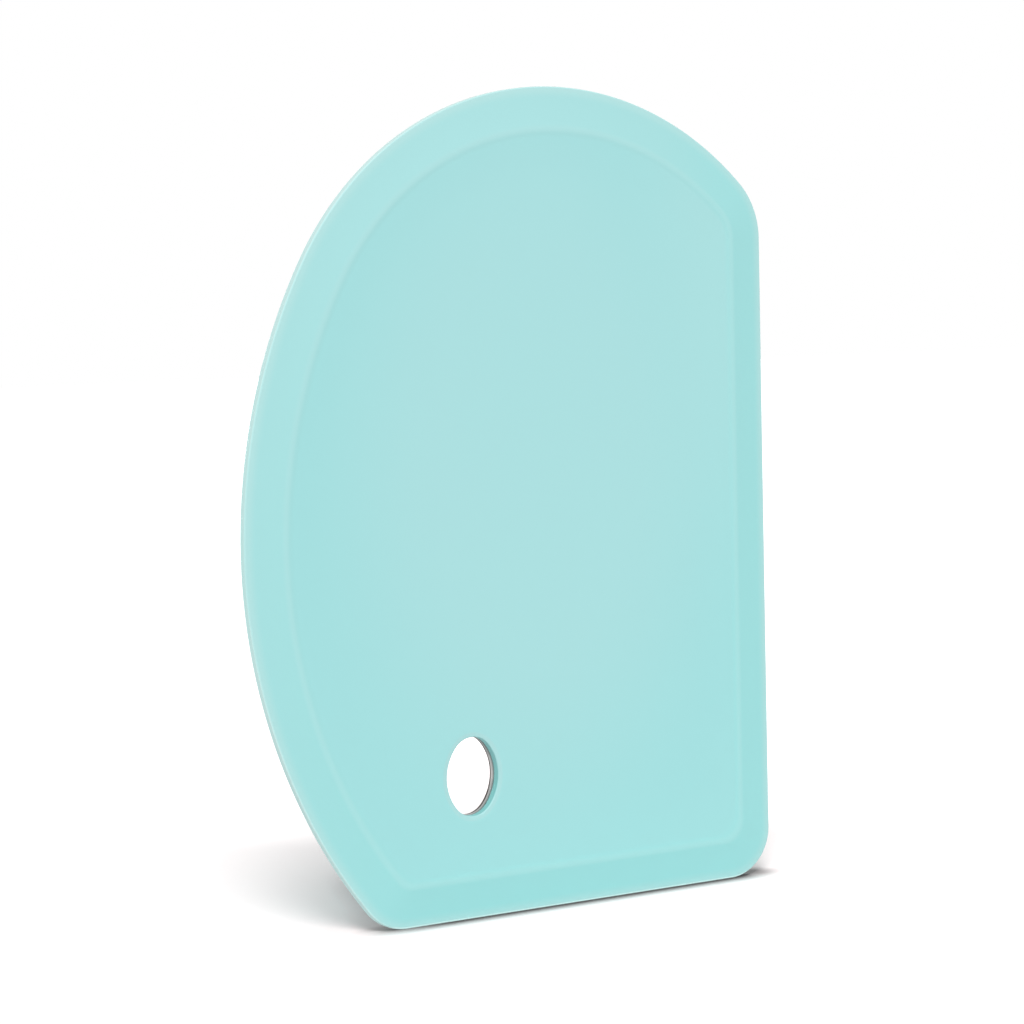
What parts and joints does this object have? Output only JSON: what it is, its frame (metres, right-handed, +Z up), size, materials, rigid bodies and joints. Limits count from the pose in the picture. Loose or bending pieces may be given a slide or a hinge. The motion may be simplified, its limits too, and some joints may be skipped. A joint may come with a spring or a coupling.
{
  "type": "bowl scraper",
  "caption": "Flat silicone bowl scraper over a stiff steel core, with a curved side for bowls, straight scraping edges, a bevelled rim and an oval hanging hole.",
  "frame": {"origin": "middle of the overall width and thickness, at the short straight edge that the scraper stands on", "axes": "+Z up the height from the short straight edge, +X towards the long straight edge with the curved side at -X, -Y out of the front face"},
  "size_m": [0.105, 0.0036, 0.14],
  "materials": {
    "silicone": "satin aqua silicone",
    "steel": "plain rolled stainless sheet with a cut edge"
  },
  "bodies": {
    "root": {"silicone_jacket": "silicone", "steel_core": "steel"}
  },
  "joints": []
}
